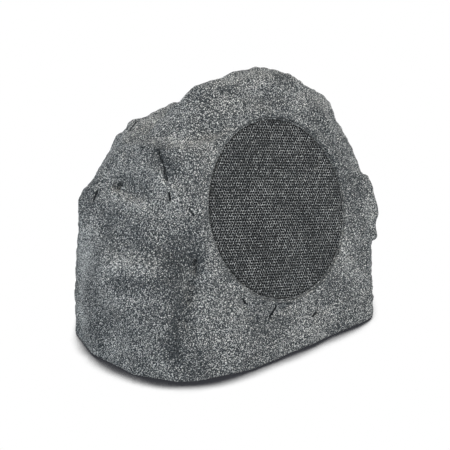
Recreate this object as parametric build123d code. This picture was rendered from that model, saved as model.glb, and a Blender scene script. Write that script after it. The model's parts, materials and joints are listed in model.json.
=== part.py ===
from build123d import *
import os
from math import cos, hypot, radians, sin, sqrt, tan

# Garden loudspeaker in a moulded rock housing. Millimetres and degrees.
# The rock stands on z = 0, its grille faces -Y, and the origin is under the middle of the rock.

os.makedirs("parts", exist_ok=True)

# Rock housing
ROCK_WIDTH = 346.0
ROCK_DEPTH = 281.0
ROCK_HEIGHT = 272.0
SHELL_WALL = 7.0
CAP_BED = 190.0
BUMP_BED = 45.0
FLAKE_PITCH = 2.0
FLAKE_DEPTH = 3.5
FLAKE_LIFT = 5.0
OVERCUT = 1.0

# Front face, recess and grille
FACE_TILT = 20.0
FACE_LIP = 2.5
GRILLE_SIDE = 7.5
GRILLE_HEIGHT = 140.0
GRILLE_MARGIN = 10.0
GRILLE_SHEET = 1.2
GRILLE_SINK = 2.0
GRILLE_FIT = 0.8
RECESS_DEPTH = 14.0
RECESS_COLLAR = 8.0
HOLE_PITCH = 18.0
HOLE_WIDTH = 11.0
PLAIN_BORDER = 5.0
CLOTH_THICKNESS = 0.4

# Loudspeaker frame, seated on the recess floor
BAFFLE_THICKNESS = 10.0
CUTOUT_FIT = 1.0
FRAME_DIAMETER = 170.0
FRAME_SHEET = 2.0
FLANGE_WIDTH = 16.0
SCREW_EDGE = 4.5
DRIVER_SCREWS = 4
GASKET_THICKNESS = 1.5
GASKET_WIDTH = 4.0
FRAME_DEPTH = 37.5
CUP_DIAMETER = 80.0
CUP_DEPTH = 11.5
CUP_WALL = 2.5
CUP_FLOOR = 1.5
FRAME_LEGS = 4
LEG_BEARING = 45.0
LEG_WIDTH = 14.0
LEG_SHOULDER = 2.5
LEG_DROP = 10.0
LUG_WIDTH = 18.0
LUG_HEIGHT = 8.0
LUG_DEPTH = 2.0

# Moving system and its suspension
ROLL_WIDTH = 7.0
CONE_PAPER = 1.0
CONE_EDGE_DEPTH = 3.0
CONE_NECK_DEPTH = 30.0
NECK_PAPER = 1.5
COIL_BORE = 25.0
COIL_WALL = 1.1
COIL_TOP_DEPTH = 26.0
COIL_LENGTH = 22.0
ROLL_HEIGHT = 3.3
ROLL_LIP = 5.5
ROLL_CREST = 1.5
RUBBER = 1.0
GLUE_GAP = 0.3
SPIDER_CLOTH = 0.6
SPIDER_DROP = 6.5
SPIDER_LIP = 7.0

# Motor
COIL_GAP = 0.5
PLATE_DIAMETER = 76.0
PLATE_THICKNESS = 5.0
MAGNET_DIAMETER = 86.0
MAGNET_BORE = 40.0
MAGNET_HEIGHT = 15.0
VENT_DIAMETER = 6.0

# High-note unit on its post
POST_DIAMETER = 12.0
POST_HEIGHT = 25.5
TWEETER_DIAMETER = 34.0
TWEETER_HEIGHT = 15.0
DOME_DIAMETER = 21.6
DOME_HEIGHT = 4.5
DOME_CROWN = 12.0
DOME_WELL = 2.0
DOME_FIT = 0.7

# Terminal strip on the frame
STRIP_THICKNESS = 1.6
STRIP_HEIGHT = 10.0
TAB_WIDTH = 3.0
TAB_LENGTH = 4.4
TAB_SHEET = 0.8
TAB_SPACING = 9.0

# Base plate, gasket, feet and bosses
PLATE_LIFT = 6.0
BASE_THICKNESS = 5.5
RIM_WALL = 3.5
BASE_FIT = 0.5
SEAL_THICKNESS = 1.5
FOOT_DIAMETER = 20.0
FOOT_X = 75.0
FOOT_Y = 70.0
BOSS_WIDTH = 14.0
BOSS_HEIGHT = 26.0
BOSS_FIT = 0.3
BOSS_BEARINGS = (25, 137, -152, -43)

# Screws
SCREW_DIAMETER = 4.0
SCREW_FIT = 0.1
HOLE_FIT = 0.8
HEAD_WIDTH = 8.0
HEAD_HEIGHT = 2.5
BASE_SCREW_BITE = 16.0
PILOT_SPARE = 1.0
DRIVER_SCREW_BITE = 8.0

# Cable pocket and gland at the back
POCKET_SIDE = 18.0
POCKET_WIDTH = 48.0
POCKET_LOW = 22.0
POCKET_TALL = 44.0
POCKET_DEPTH = 32.5
GLAND_THREAD = 16.0
GLAND_HEX = 22.0
GLAND_FLANGE = 5.0
GLAND_STUB = 14.0
GLAND_STUB_LENGTH = 7.0
GLAND_SEAL_LENGTH = 5.0
GLAND_SEAL_FIT = 0.7
GLAND_CAP_HEX = 20.0
GLAND_CAP_END = 3.0
GLAND_NUT = 5.0
GLAND_TAIL = 3.0
GLAND_FIT = 0.2
CABLE_BORE = 8.0

# Crossover on the base plate
BOARD_X = 10.0
BOARD_Y = 45.0
BOARD_WIDTH = 88.0
BOARD_DEPTH = 60.0
BOARD_THICKNESS = 1.6
BOARD_LIFT = 8.0
BOARD_MARGIN = 5.0
BOARD_POST = 7.0
POST_FOOT = 12.0
POST_FOOT_HEIGHT = 1.5
BARB_WIDTH = 3.0
BARB_FIT = 0.1
BARB_STAND = 1.5
BLOCK_WIDTH = 36.0
BLOCK_DEPTH = 12.0
BLOCK_HEIGHT = 10.0
BLOCK_WAYS = 4
WAY_SIZE = 4.0
INDUCTOR_CORE = (30.0, 12.0, 26.0)
INDUCTOR_COIL = (22.0, 24.0, 18.0)
INDUCTOR_RADIUS = 6.0
INDUCTOR_PLACE = (-24.0, 12.0)
CAPACITOR_SIZE = (12.0, 28.0, 20.0)
CAPACITOR_PLACE = (22.0, 12.0)
RESISTOR_SIZE = (9.0, 24.0, 9.0)
RESISTOR_PLACE = (37.0, 4.0)

# Flat twin leads inside the housing
LEAD_WIDTH = 5.0
LEAD_THICKNESS = 2.0
LEAD_BEND = 9.0
LEAD_RUN = 28.0
LEAD_SWAY = 4.0
LEAD_DROP = 42.0

# Damping pad against the back wall
PAD_THICKNESS = 15.0
PAD_BOTTOM = 84.0
PAD_TALL = 66.0
PAD_FRONT = 30.0


# Derived sizes and places
GRILLE_DIAMETER = FRAME_DIAMETER + 2 * GRILLE_MARGIN
FRAME_OPENING = FRAME_DIAMETER - 2 * FLANGE_WIDTH
SCREW_CIRCLE = FRAME_DIAMETER - 2 * SCREW_EDGE
LEG_CIRCLE = FRAME_OPENING + 2 * LEG_SHOULDER
CUTOUT_DIAMETER = LEG_CIRCLE + 2 * CUTOUT_FIT
CONE_DIAMETER = FRAME_OPENING - 2 * ROLL_WIDTH
FACE_FOOT = ROCK_DEPTH / 2 + FACE_LIP
FACE = Plane(
    origin=(GRILLE_SIDE, GRILLE_HEIGHT * tan(radians(FACE_TILT)) - FACE_FOOT, GRILLE_HEIGHT),
    x_dir=(1, 0, 0),
    z_dir=(0, -cos(radians(FACE_TILT)), sin(radians(FACE_TILT))),
)
SEAT = FACE.offset(-RECESS_DEPTH)
RECESS_RADIUS = GRILLE_DIAMETER / 2 + GRILLE_FIT
GRILLE_BACK = RECESS_DEPTH - GRILLE_SINK - GRILLE_SHEET
FRAME_BACK = GASKET_THICKNESS
FRAME_FRONT = FRAME_BACK + FRAME_SHEET
MOTOR_FRONT = -FRAME_DEPTH
MAGNET_FRONT = MOTOR_FRONT - PLATE_THICKNESS
MAGNET_BACK = MAGNET_FRONT - MAGNET_HEIGHT
YOKE_BACK = MAGNET_BACK - PLATE_THICKNESS
COIL_RADIUS = COIL_BORE / 2 + COIL_WALL
PLATE_TOP = PLATE_LIFT + BASE_THICKNESS
LEDGE = PLATE_TOP + SEAL_THICKNESS
BOARD_BOTTOM = PLATE_TOP + BOARD_LIFT
BOARD_TOP = BOARD_BOTTOM + BOARD_THICKNESS
BLOCK_FRONT = BOARD_Y - BOARD_DEPTH / 2 + BOARD_MARGIN / 2
BLOCK_TOP = BOARD_TOP + BLOCK_HEIGHT
GLAND = Plane(
    origin=(POCKET_SIDE, ROCK_DEPTH / 2 - POCKET_DEPTH, POCKET_LOW + POCKET_TALL / 2),
    x_dir=(1, 0, 0),
    z_dir=(0, 1, 0),
)


# Shapes used by several pieces
def turned(*outline):
    """Solid turned about the local Z axis from (radius, height) corners."""
    return revolve(Plane.XZ * make_face(Polyline(*outline, close=True)), Axis.Z)


def tube(inner, outer, low, high):
    """Plain ring between two diameters and two heights."""
    return turned((inner / 2, low), (outer / 2, low), (outer / 2, high), (inner / 2, high))


def rod(diameter, low, high):
    """Round bar between two heights."""
    return Pos(0, 0, low) * Cylinder(diameter / 2, high - low, align=(Align.CENTER, Align.CENTER, Align.MIN))


def block(low, high):
    """Box between two opposite corners."""
    size = Vector(high) - Vector(low)
    return Pos(*low) * Box(size.X, size.Y, size.Z, align=(Align.MIN, Align.MIN, Align.MIN))


def hexagon(across_flats, low, high):
    """Hexagon bar between two heights."""
    return Pos(0, 0, low) * extrude(RegularPolygon(across_flats / sqrt(3), 6), high - low)


def screw(under_head, length):
    """Hexagon-head screw that points up, with its head below the given height."""
    head = hexagon(HEAD_WIDTH, under_head - HEAD_HEIGHT, under_head)
    return head + rod(SCREW_DIAMETER, under_head, under_head + length)


def lead(side, route):
    """Flat twin lead along a route of (y, z) points in an upright plane."""
    ribbon = trace(FilletPolyline(*route, radius=LEAD_BEND), LEAD_THICKNESS)
    return extrude(Plane.YZ.offset(side) * ribbon, LEAD_WIDTH / 2, dir=(1, 0, 0), both=True)


def screw_circle():
    """Places of the screws that hold the loudspeaker's frame."""
    return PolarLocations(SCREW_CIRCLE / 2, DRIVER_SCREWS)


# Rock: three overlapping boulders, each a block with facets chiselled off
def normal(bearing, lean):
    """Outward direction of a facet, from its bearing in plan and its lean back from upright."""
    level = cos(radians(lean))
    return Vector(cos(radians(bearing)) * level, sin(radians(bearing)) * level, sin(radians(lean)))


def wall(bearing, lean, share):
    """Side facet whose foot stands at a share of the plan's oval."""
    across = ROCK_WIDTH / 2 * cos(radians(bearing))
    along = ROCK_DEPTH / 2 * sin(radians(bearing))
    return normal(bearing, lean), share * hypot(across, along) * cos(radians(lean))


def roof(bearing, lean, share):
    """Upper facet that crosses the upright axis at a share of the height."""
    return normal(bearing, lean), share * ROCK_HEIGHT * sin(radians(lean))


def chisel(facets, inset, floor):
    """Block on a floor with every facet cut off, each brought in by the same inset."""
    span = 2 * max(ROCK_WIDTH, ROCK_DEPTH, ROCK_HEIGHT)
    stone = block((-span, -span, floor), (span, span, span))
    waste = Box(4 * span, 4 * span, 4 * span, align=(Align.CENTER, Align.CENTER, Align.MIN))
    for direction, reach in facets:
        stone -= Plane(origin=direction * (reach - inset), z_dir=direction) * waste
    return stone


def body_facet(bearing, height, inset):
    """Distance from the axis to the body's wall, brought in by an inset, and the facet's direction there."""
    ray = normal(bearing, 0)
    hits = []
    for direction, reach in BODY:
        toward = ray.dot(direction)
        if toward > 0:
            hits.append(((reach - inset - direction.Z * height) / toward, direction))
    return min(hits, key=lambda hit: hit[0])


FRONT_FACE = (FACE.z_dir, FACE.z_dir.dot(FACE.origin))
LEFT_FRONT = wall(-120, 20, 1.2)
RIGHT_FRONT = wall(-62, 22, 1.29)
BODY = [
    FRONT_FACE,
    LEFT_FRONT,
    RIGHT_FRONT,
    wall(-90, 2, 1.0),
    wall(-108, 8, 1.09),
    wall(-130, 8, 1.16),
    wall(-152, 6, 1.1),
    wall(180, 3, 1.0),
    wall(160, 4, 0.96),
    wall(137, 4, 0.935),
    wall(110, 6, 0.97),
    wall(90, 8, 1.0),
    wall(60, 10, 1.02),
    wall(25, 10, 1.0),
    wall(0, 5, 1.0),
    wall(-43, 4, 1.1),
    wall(-70, 3, 1.15),
    wall(14, 22, 1.325),
    wall(-39, 26, 1.451),
    roof(-150, 32, 1.41),
    roof(178, 32, 1.34),
    roof(130, 35, 1.225),
    roof(126, 81, 0.812),
    roof(95, 40, 1.1),
    roof(50, 40, 1.15),
    roof(-44, 50, 1.163),
    roof(0, 90, 0.855),
]
CAP = [
    FRONT_FACE,
    RIGHT_FRONT,
    wall(-121, 28, 1.236),
    wall(181, 37, 1.38),
    wall(145, 41, 1.56),
    wall(95, 38, 1.4),
    wall(44, 32, 1.294),
    wall(-15, 26, 1.279),
    wall(-37, 21, 1.498),
    roof(144, 80, 0.985),
    roof(-83, 73, 1.134),
    roof(-52, 54, 1.285),
    roof(-41, 72, 1.038),
    roof(73, 77, 0.972),
    roof(0, 90, 1.0),
]
BUMP = [
    FRONT_FACE,
    wall(-110, 20, 0.9),
    wall(180, 10, -0.2),
    wall(90, 10, 0.2),
    wall(-43, -8, 1.03),
    wall(-43, 3, 1.17),
    wall(-12, 3, 1.0),
    wall(8, 4, 0.98),
    roof(-43, 45, 1.12),
    roof(20, 60, 0.75),
]


# Flakes struck off the body, set out on a grid: bearing of the ledge that each leaves, its height, width and
# length up to where it runs out, all three in pitches of the grid, and its turn
FLAKES = [
    (-176, 83, 23, 19, 6),
    (-164, 56, 25, 21, -8),
    (-179, 24, 22, 17, 10),
    (-158, 98, 22, 11, -70),
    (-141, 46, 50, 13, 76),
    (-128, 18, 20, 12, -12),
    (-100, 21, 16, 10, 15),
    (-75, 13, 15, 9, -14),
    (-46, 15, 31, 35, 0),
    (24, 25, 25, 20, -10),
    (42, 59, 27, 22, 12),
    (60, 20, 22, 17, -14),
    (66, 48, 25, 20, 8),
    (104, 50, 27, 23, -10),
    (112, 18, 23, 19, 14),
    (138, 30, 24, 20, -8),
    (128, 67, 23, 18, 12),
    (158, 46, 25, 21, -12),
]


def flake(width, length):
    """Wedge that digs in at a ledge and runs out at the surface above, carried on outside the stone."""
    run_out = length * (1 + FLAKE_LIFT / FLAKE_DEPTH)
    outline = Polyline((0, FLAKE_LIFT), (0, -FLAKE_DEPTH), (run_out, FLAKE_LIFT), close=True)
    return extrude(Plane.YZ * make_face(outline), width / 2, dir=(1, 0, 0), both=True)


def weathered(stone):
    """Stone with its flakes struck off."""
    for bearing, height, width, length, turn in FLAKES:
        ledge = height * FLAKE_PITCH
        out, direction = body_facet(bearing, ledge, 0)
        level = Vector(0, 0, 1).cross(direction)
        place = Plane(origin=normal(bearing, 0) * out + Vector(0, 0, ledge), x_dir=level, z_dir=direction)
        stone -= place * Rot(0, 0, turn) * flake(width * FLAKE_PITCH, length * FLAKE_PITCH)
    return stone


def rock(inset, floor):
    """The three boulders together, brought in by an inset, on a floor."""
    return chisel(BODY, inset, floor) + chisel(CAP, inset, CAP_BED) + chisel(BUMP, inset, BUMP_BED)


def slice_of_body(inset, low, high):
    """Layer of the main boulder, brought in by an inset, between two heights."""
    return chisel(BODY + [(Vector(0, 0, 1), high + inset)], inset, low)


def boss_places():
    """Square bosses stand clear of the gasket and run into the wall above it."""
    for bearing in BOSS_BEARINGS:
        out = body_facet(bearing, LEDGE, SHELL_WALL)[0] - BOSS_WIDTH / 2 - BOSS_FIT
        yield Rot(0, 0, bearing) * Pos(out, 0, 0)


def make_rock_shell():
    """Housing: hollow rock with baffle ring, bosses, base rebate and cable pocket."""
    outer = weathered(rock(0, 0))
    shell = outer - rock(SHELL_WALL, -OVERCUT)
    shell -= slice_of_body(RIM_WALL, -OVERCUT, LEDGE)
    collar = 2 * (RECESS_RADIUS + RECESS_COLLAR)
    shell += SEAT * rod(collar, -BAFFLE_THICKNESS, RECESS_DEPTH - SHELL_WALL / 2)
    shell -= SEAT * rod(2 * RECESS_RADIUS, 0, RECESS_DEPTH + OVERCUT)
    shell -= SEAT * rod(CUTOUT_DIAMETER, -BAFFLE_THICKNESS - OVERCUT, OVERCUT)
    for place in screw_circle():
        shell -= SEAT * place * rod(SCREW_DIAMETER + SCREW_FIT, -DRIVER_SCREW_BITE - PILOT_SPARE, OVERCUT)
    for place in boss_places():
        half = BOSS_WIDTH / 2
        shell += place * block((-half, -half, PLATE_TOP), (half, half, PLATE_TOP + BOSS_HEIGHT))
        depth = BASE_SCREW_BITE + PILOT_SPARE
        shell -= place * rod(SCREW_DIAMETER + SCREW_FIT, PLATE_LIFT, PLATE_TOP + depth)
    half, wide = POCKET_WIDTH / 2, POCKET_WIDTH / 2 + SHELL_WALL
    floor, back = GLAND.origin.Y, ROCK_DEPTH / 2 + OVERCUT
    top = POCKET_LOW + POCKET_TALL
    pocket = block((POCKET_SIDE - half, floor, POCKET_LOW), (POCKET_SIDE + half, back, top))
    casing = block((POCKET_SIDE - wide, floor - SHELL_WALL, POCKET_LOW - SHELL_WALL),
                   (POCKET_SIDE + wide, back, top + SHELL_WALL))
    shell += casing & outer
    shell -= pocket
    shell -= GLAND * rod(GLAND_THREAD + 2 * GLAND_FIT, -SHELL_WALL - OVERCUT, OVERCUT)
    return shell


# Grille and cloth
def make_grille():
    """Flat perforated disc with a folded rim that stands on the recess floor."""
    front = GRILLE_BACK + GRILLE_SHEET
    dish = rod(GRILLE_DIAMETER, 0, front) - rod(GRILLE_DIAMETER - 2 * GRILLE_SHEET, -OVERCUT, GRILLE_BACK)
    limit = GRILLE_DIAMETER / 2 - GRILLE_SHEET - PLAIN_BORDER - HOLE_WIDTH / 2
    row_step = HOLE_PITCH * sqrt(3) / 2
    rows = int(limit / row_step)
    holes = []
    for row in range(-rows, rows + 1):
        y = row * row_step
        shift = HOLE_PITCH / 2 * (row % 2)
        for column in range(-2 * rows, 2 * rows + 1):
            x = column * HOLE_PITCH + shift
            if hypot(x, y) < limit:
                holes.append(Pos(x, y) * RegularPolygon(HOLE_WIDTH / sqrt(3), 6, rotation=30))
    cut = extrude(Sketch() + holes, front + OVERCUT)
    return SEAT * (dish - cut)


def make_grille_cloth():
    """Disc of acoustic cloth glued behind the grille."""
    inside = GRILLE_DIAMETER - 2 * GRILLE_SHEET
    return SEAT * rod(inside, GRILLE_BACK - CLOTH_THICKNESS, GRILLE_BACK)


# Loudspeaker
def make_driver_gasket():
    """Foam ring between the recess floor and the frame."""
    inner = CUTOUT_DIAMETER + CUTOUT_FIT
    return SEAT * tube(inner, inner + 2 * GASKET_WIDTH, 0, GASKET_THICKNESS)


def make_driver_screws():
    """Screws through the frame into the baffle ring."""
    one = Rot(180, 0, 0) * screw(-FRAME_FRONT, FRAME_FRONT + DRIVER_SCREW_BITE)
    return [SEAT * place * one for place in screw_circle()]


def make_basket():
    """Pressed frame: flange, four legs and a cup that carries spider and motor."""
    flange = tube(FRAME_OPENING, FRAME_DIAMETER, FRAME_BACK, FRAME_FRONT)
    for place in screw_circle():
        flange -= place * rod(SCREW_DIAMETER + HOLE_FIT, FRAME_BACK - OVERCUT, FRAME_FRONT + OVERCUT)
    rim, inside, rim_height = CUP_DIAMETER / 2, CUP_DIAMETER / 2 - CUP_WALL, MOTOR_FRONT + CUP_DEPTH
    hole, floor = COIL_RADIUS + CUP_WALL, MOTOR_FRONT + CUP_FLOOR
    cup = turned((hole, MOTOR_FRONT), (rim, MOTOR_FRONT), (rim, rim_height), (inside, rim_height),
                 (inside, floor), (hole, floor))
    top, outside = FRAME_OPENING / 2, LEG_CIRCLE / 2
    knee, grip, sheet = FRAME_BACK - LEG_DROP, rim - CUP_WALL / 2, FRAME_SHEET
    leg_side = make_face(Polyline(
        (top, FRAME_BACK + sheet / 2), (outside, FRAME_BACK + sheet / 2),
        (outside - sheet, knee - sheet / 2), (grip, rim_height - 2 * sheet),
        (grip, rim_height - sheet), (outside - 2 * sheet, knee), close=True))
    leg = extrude(Plane.XZ * leg_side, LEG_WIDTH / 2, both=True)
    lug = block((-LUG_WIDTH / 2, -rim - LUG_DEPTH, floor),
                (LUG_WIDTH / 2, -rim + CUP_WALL / 2, floor + LUG_HEIGHT))
    frame = flange + cup + (lug - rod(2 * inside, MOTOR_FRONT, 0))
    for turn in range(FRAME_LEGS):
        frame += Rot(0, 0, LEG_BEARING + turn * 360 / FRAME_LEGS) * leg
    return SEAT * frame


def make_surround():
    """Rubber roll from the cone's edge to the frame."""
    edge, lip = CONE_DIAMETER / 2 + GLUE_GAP, FRAME_OPENING / 2 + RUBBER
    crest = (edge + lip) / 2
    top = FRAME_FRONT + ROLL_HEIGHT
    outline = ((edge, -CONE_EDGE_DEPTH), (edge, CONE_PAPER - CONE_EDGE_DEPTH), (crest, top),
               (lip, FRAME_FRONT + RUBBER), (lip + ROLL_LIP, FRAME_FRONT + RUBBER),
               (lip + ROLL_LIP, FRAME_FRONT), (lip - RUBBER / 2, FRAME_FRONT), (crest, top - ROLL_CREST))
    return SEAT * turned(*outline)


def make_cone():
    """Pulp cone from the coil's neck to the surround."""
    edge = CONE_DIAMETER / 2
    return SEAT * turned((COIL_RADIUS, -CONE_NECK_DEPTH), (edge, -CONE_EDGE_DEPTH),
                         (edge, CONE_PAPER - CONE_EDGE_DEPTH), (COIL_RADIUS, NECK_PAPER - CONE_NECK_DEPTH))


def make_voice_coil():
    """Former with its winding, running in the motor's gap."""
    return SEAT * tube(COIL_BORE, 2 * COIL_RADIUS, -COIL_TOP_DEPTH - COIL_LENGTH, -COIL_TOP_DEPTH)


def make_spider():
    """Treated cloth disc that centres the coil, with its lip on the cup's rim."""
    rim, seat = CUP_DIAMETER / 2, MOTOR_FRONT + CUP_DEPTH
    bend, neck = rim - SPIDER_LIP, COIL_RADIUS + GLUE_GAP
    return SEAT * turned((neck, seat - SPIDER_DROP), (bend, seat), (rim, seat),
                         (rim, seat + SPIDER_CLOTH), (bend, seat + SPIDER_CLOTH),
                         (neck, seat - SPIDER_DROP + SPIDER_CLOTH))


def make_front_plate():
    """Steel plate round the gap."""
    gap = 2 * (COIL_RADIUS + COIL_GAP)
    return SEAT * tube(gap, PLATE_DIAMETER, MAGNET_FRONT, MOTOR_FRONT)


def make_magnet():
    """Ferrite ring."""
    return SEAT * tube(MAGNET_BORE, MAGNET_DIAMETER, MAGNET_BACK, MAGNET_FRONT)


def make_yoke():
    """Steel back plate with the pole, bored for the high-note unit's lead."""
    pole, vent, rim = COIL_BORE / 2 - COIL_GAP, VENT_DIAMETER / 2, PLATE_DIAMETER / 2
    return SEAT * turned((vent, YOKE_BACK), (rim, YOKE_BACK), (rim, MAGNET_BACK), (pole, MAGNET_BACK),
                         (pole, MOTOR_FRONT), (vent, MOTOR_FRONT))


def make_tweeter_post():
    """Hollow post on the pole."""
    return SEAT * tube(VENT_DIAMETER, POST_DIAMETER, MOTOR_FRONT, MOTOR_FRONT + POST_HEIGHT)


def make_tweeter_body():
    """Sealed high-note unit with a well for its dome."""
    low = MOTOR_FRONT + POST_HEIGHT
    high, rim, well = low + TWEETER_HEIGHT, TWEETER_DIAMETER / 2, DOME_DIAMETER / 2 + DOME_FIT
    return SEAT * turned((0, low), (rim, low), (rim, high), (well, high), (well, high - DOME_WELL),
                         (0, high - DOME_WELL))


def make_tweeter_dome():
    """Soft dome in its well, flat-crowned with one sloping side."""
    base = MOTOR_FRONT + POST_HEIGHT + TWEETER_HEIGHT - DOME_WELL
    top = base + DOME_HEIGHT
    return SEAT * turned((0, base), (DOME_DIAMETER / 2, base), (DOME_CROWN / 2, top), (0, top))


def make_terminal_strip():
    """Strip riveted to the frame's lug, with two solder tabs."""
    back = -CUP_DIAMETER / 2 - LUG_DEPTH
    low = MOTOR_FRONT + CUP_FLOOR
    strip = block((-LUG_WIDTH / 2, back - STRIP_THICKNESS, low), (LUG_WIDTH / 2, back, low + STRIP_HEIGHT))
    middle = low + LUG_HEIGHT / 2
    for side in (-TAB_SPACING / 2, TAB_SPACING / 2):
        strip += block((side - TAB_WIDTH / 2, back - STRIP_THICKNESS - TAB_LENGTH, middle - TAB_SHEET / 2),
                       (side + TAB_WIDTH / 2, back - STRIP_THICKNESS, middle + TAB_SHEET / 2))
    return SEAT * strip


# Base
def make_base_plate():
    """Plate let into the rebate under the housing."""
    plate = slice_of_body(RIM_WALL + BASE_FIT, PLATE_LIFT, PLATE_TOP)
    for place in boss_places():
        plate -= place * rod(SCREW_DIAMETER + HOLE_FIT, PLATE_LIFT - OVERCUT, PLATE_TOP + OVERCUT)
    return plate


def make_base_gasket():
    """Foam gasket between the plate and the rebate's ledge."""
    layer = slice_of_body(RIM_WALL + BASE_FIT, PLATE_TOP, LEDGE)
    return layer - slice_of_body(SHELL_WALL, PLATE_TOP - OVERCUT, LEDGE + OVERCUT)


def make_base_screws():
    """Screws up through the plate into the bosses."""
    return [place * screw(PLATE_LIFT, BASE_THICKNESS + BASE_SCREW_BITE) for place in boss_places()]


def make_rubber_feet():
    """Four feet level with the housing's rim."""
    corners = [(x, y) for x in (-FOOT_X, FOOT_X) for y in (-FOOT_Y, FOOT_Y)]
    return [Pos(x, y) * rod(FOOT_DIAMETER, 0, PLATE_LIFT) for x, y in corners]


# Cable gland
def make_gland_body():
    """Gland body: hexagon flange on the pocket's wall, stub outside, thread inside."""
    tail = SHELL_WALL + GLAND_NUT + GLAND_TAIL
    body = hexagon(GLAND_HEX, 0, GLAND_FLANGE)
    body += rod(GLAND_STUB, GLAND_FLANGE, GLAND_FLANGE + GLAND_STUB_LENGTH)
    body += rod(GLAND_THREAD, -tail, 0)
    return GLAND * (body - rod(CABLE_BORE, -tail - OVERCUT, GLAND_FLANGE + GLAND_STUB_LENGTH + OVERCUT))


def make_gland_seal():
    """Rubber ring squeezed between stub and cap."""
    low = GLAND_FLANGE + GLAND_STUB_LENGTH
    return GLAND * tube(CABLE_BORE, GLAND_STUB - 2 * GLAND_SEAL_FIT, low, low + GLAND_SEAL_LENGTH)


def make_gland_cap():
    """Hexagon cap screwed over the stub."""
    low = GLAND_FLANGE + GLAND_FIT
    inside = GLAND_FLANGE + GLAND_STUB_LENGTH + GLAND_SEAL_LENGTH
    cap = hexagon(GLAND_CAP_HEX, low, inside + GLAND_CAP_END)
    cap -= rod(GLAND_STUB + 2 * GLAND_FIT, 0, inside)
    return GLAND * (cap - rod(CABLE_BORE, 0, inside + GLAND_CAP_END + OVERCUT))


def make_gland_nut():
    """Lock nut inside the housing."""
    nut = hexagon(GLAND_HEX, -SHELL_WALL - GLAND_NUT, -SHELL_WALL)
    return GLAND * (nut - rod(GLAND_THREAD + 2 * GLAND_FIT, -SHELL_WALL - GLAND_NUT - OVERCUT, 0))


# Crossover
def board_post_places():
    """Places of the posts near the board's corners."""
    across, along = BOARD_WIDTH / 2 - BOARD_MARGIN, BOARD_DEPTH / 2 - BOARD_MARGIN
    return [(BOARD_X + x, BOARD_Y + y) for x in (-across, across) for y in (-along, along)]


def square_bar(width, low, high):
    """Square bar between two heights."""
    return block((-width / 2, -width / 2, low), (width / 2, width / 2, high))


def make_board_posts():
    """Stick-on posts: square foot, pillar and a barb through the board."""
    post = square_bar(POST_FOOT, PLATE_TOP, PLATE_TOP + POST_FOOT_HEIGHT)
    post += hexagon(BOARD_POST, PLATE_TOP, BOARD_BOTTOM)
    post += square_bar(BARB_WIDTH - 2 * BARB_FIT, PLATE_TOP, BOARD_TOP + BARB_STAND)
    return [Pos(x, y) * post for x, y in board_post_places()]


def make_crossover_board():
    """Circuit board on the posts."""
    half_width, half_depth = BOARD_WIDTH / 2, BOARD_DEPTH / 2
    board = block((BOARD_X - half_width, BOARD_Y - half_depth, BOARD_BOTTOM),
                  (BOARD_X + half_width, BOARD_Y + half_depth, BOARD_TOP))
    for x, y in board_post_places():
        board -= Pos(x, y) * square_bar(BARB_WIDTH, BOARD_BOTTOM - OVERCUT, BOARD_TOP + OVERCUT)
    return board


def on_board(place, size):
    """Box that stands on the board at a place from the board's middle."""
    base = Pos(BOARD_X + place[0], BOARD_Y + place[1], BOARD_TOP)
    return base * Box(*size, align=(Align.CENTER, Align.CENTER, Align.MIN))


def make_inductor():
    """Coil on a laminated core."""
    base = Pos(BOARD_X + INDUCTOR_PLACE[0], BOARD_Y + INDUCTOR_PLACE[1], BOARD_TOP)
    width, depth, height = INDUCTOR_COIL
    lift = (INDUCTOR_CORE[2] - height) / 2
    coil = base * Pos(0, 0, lift) * extrude(RectangleRounded(width, depth, INDUCTOR_RADIUS), height)
    return on_board(INDUCTOR_PLACE, INDUCTOR_CORE) + coil


def make_terminal_block():
    """Block at the board's front edge with wire entries on both long sides."""
    place = (0, BLOCK_FRONT + BLOCK_DEPTH / 2 - BOARD_Y)
    body = on_board(place, (BLOCK_WIDTH, BLOCK_DEPTH, BLOCK_HEIGHT))
    pitch = BLOCK_WIDTH / BLOCK_WAYS
    for way in range(BLOCK_WAYS):
        x = (way + 0.5) * pitch - BLOCK_WIDTH / 2
        for side in (-1, 1):
            y = place[1] + side * BLOCK_DEPTH / 2
            hole = on_board((x, y), (WAY_SIZE, WAY_SIZE, WAY_SIZE))
            body -= Pos(0, 0, (BLOCK_HEIGHT - WAY_SIZE) / 2) * hole
    return body


# Leads
def make_woofer_lead():
    """Lead from the terminal strip's tabs to the block's front."""
    strip = -CUP_DIAMETER / 2 - LUG_DEPTH - STRIP_THICKNESS - TAB_LENGTH
    tab = SEAT.from_local_coords((0, strip, MOTOR_FRONT + CUP_FLOOR + LUG_HEIGHT / 2))
    entry = BOARD_TOP + BLOCK_HEIGHT / 2
    route = [(tab.Y, tab.Z), (tab.Y + LEAD_SWAY, tab.Z - LEAD_RUN), (BLOCK_FRONT - LEAD_RUN, entry),
             (BLOCK_FRONT, entry)]
    return lead(GRILLE_SIDE, route)


def make_tweeter_lead():
    """Lead from the pole's bore to the block's top."""
    vent = SEAT.from_local_coords((0, 0, YOKE_BACK))
    away = SEAT.from_local_coords((0, 0, YOKE_BACK - LEAD_RUN))
    middle = BLOCK_FRONT + BLOCK_DEPTH / 2
    route = [(vent.Y, vent.Z), (away.Y, away.Z), (middle, BLOCK_TOP + LEAD_DROP), (middle, BLOCK_TOP)]
    return lead(GRILLE_SIDE, route)


# Damping
def make_wadding():
    """Polyester pad that follows the inside of the back wall."""
    low, high = PAD_BOTTOM, PAD_BOTTOM + PAD_TALL
    pad = slice_of_body(SHELL_WALL, low, high)
    pad -= slice_of_body(SHELL_WALL + PAD_THICKNESS, low - OVERCUT, high + OVERCUT)
    reach = max(ROCK_WIDTH, ROCK_DEPTH)
    return pad & block((-reach, PAD_FRONT, low), (reach, reach, high))


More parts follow.
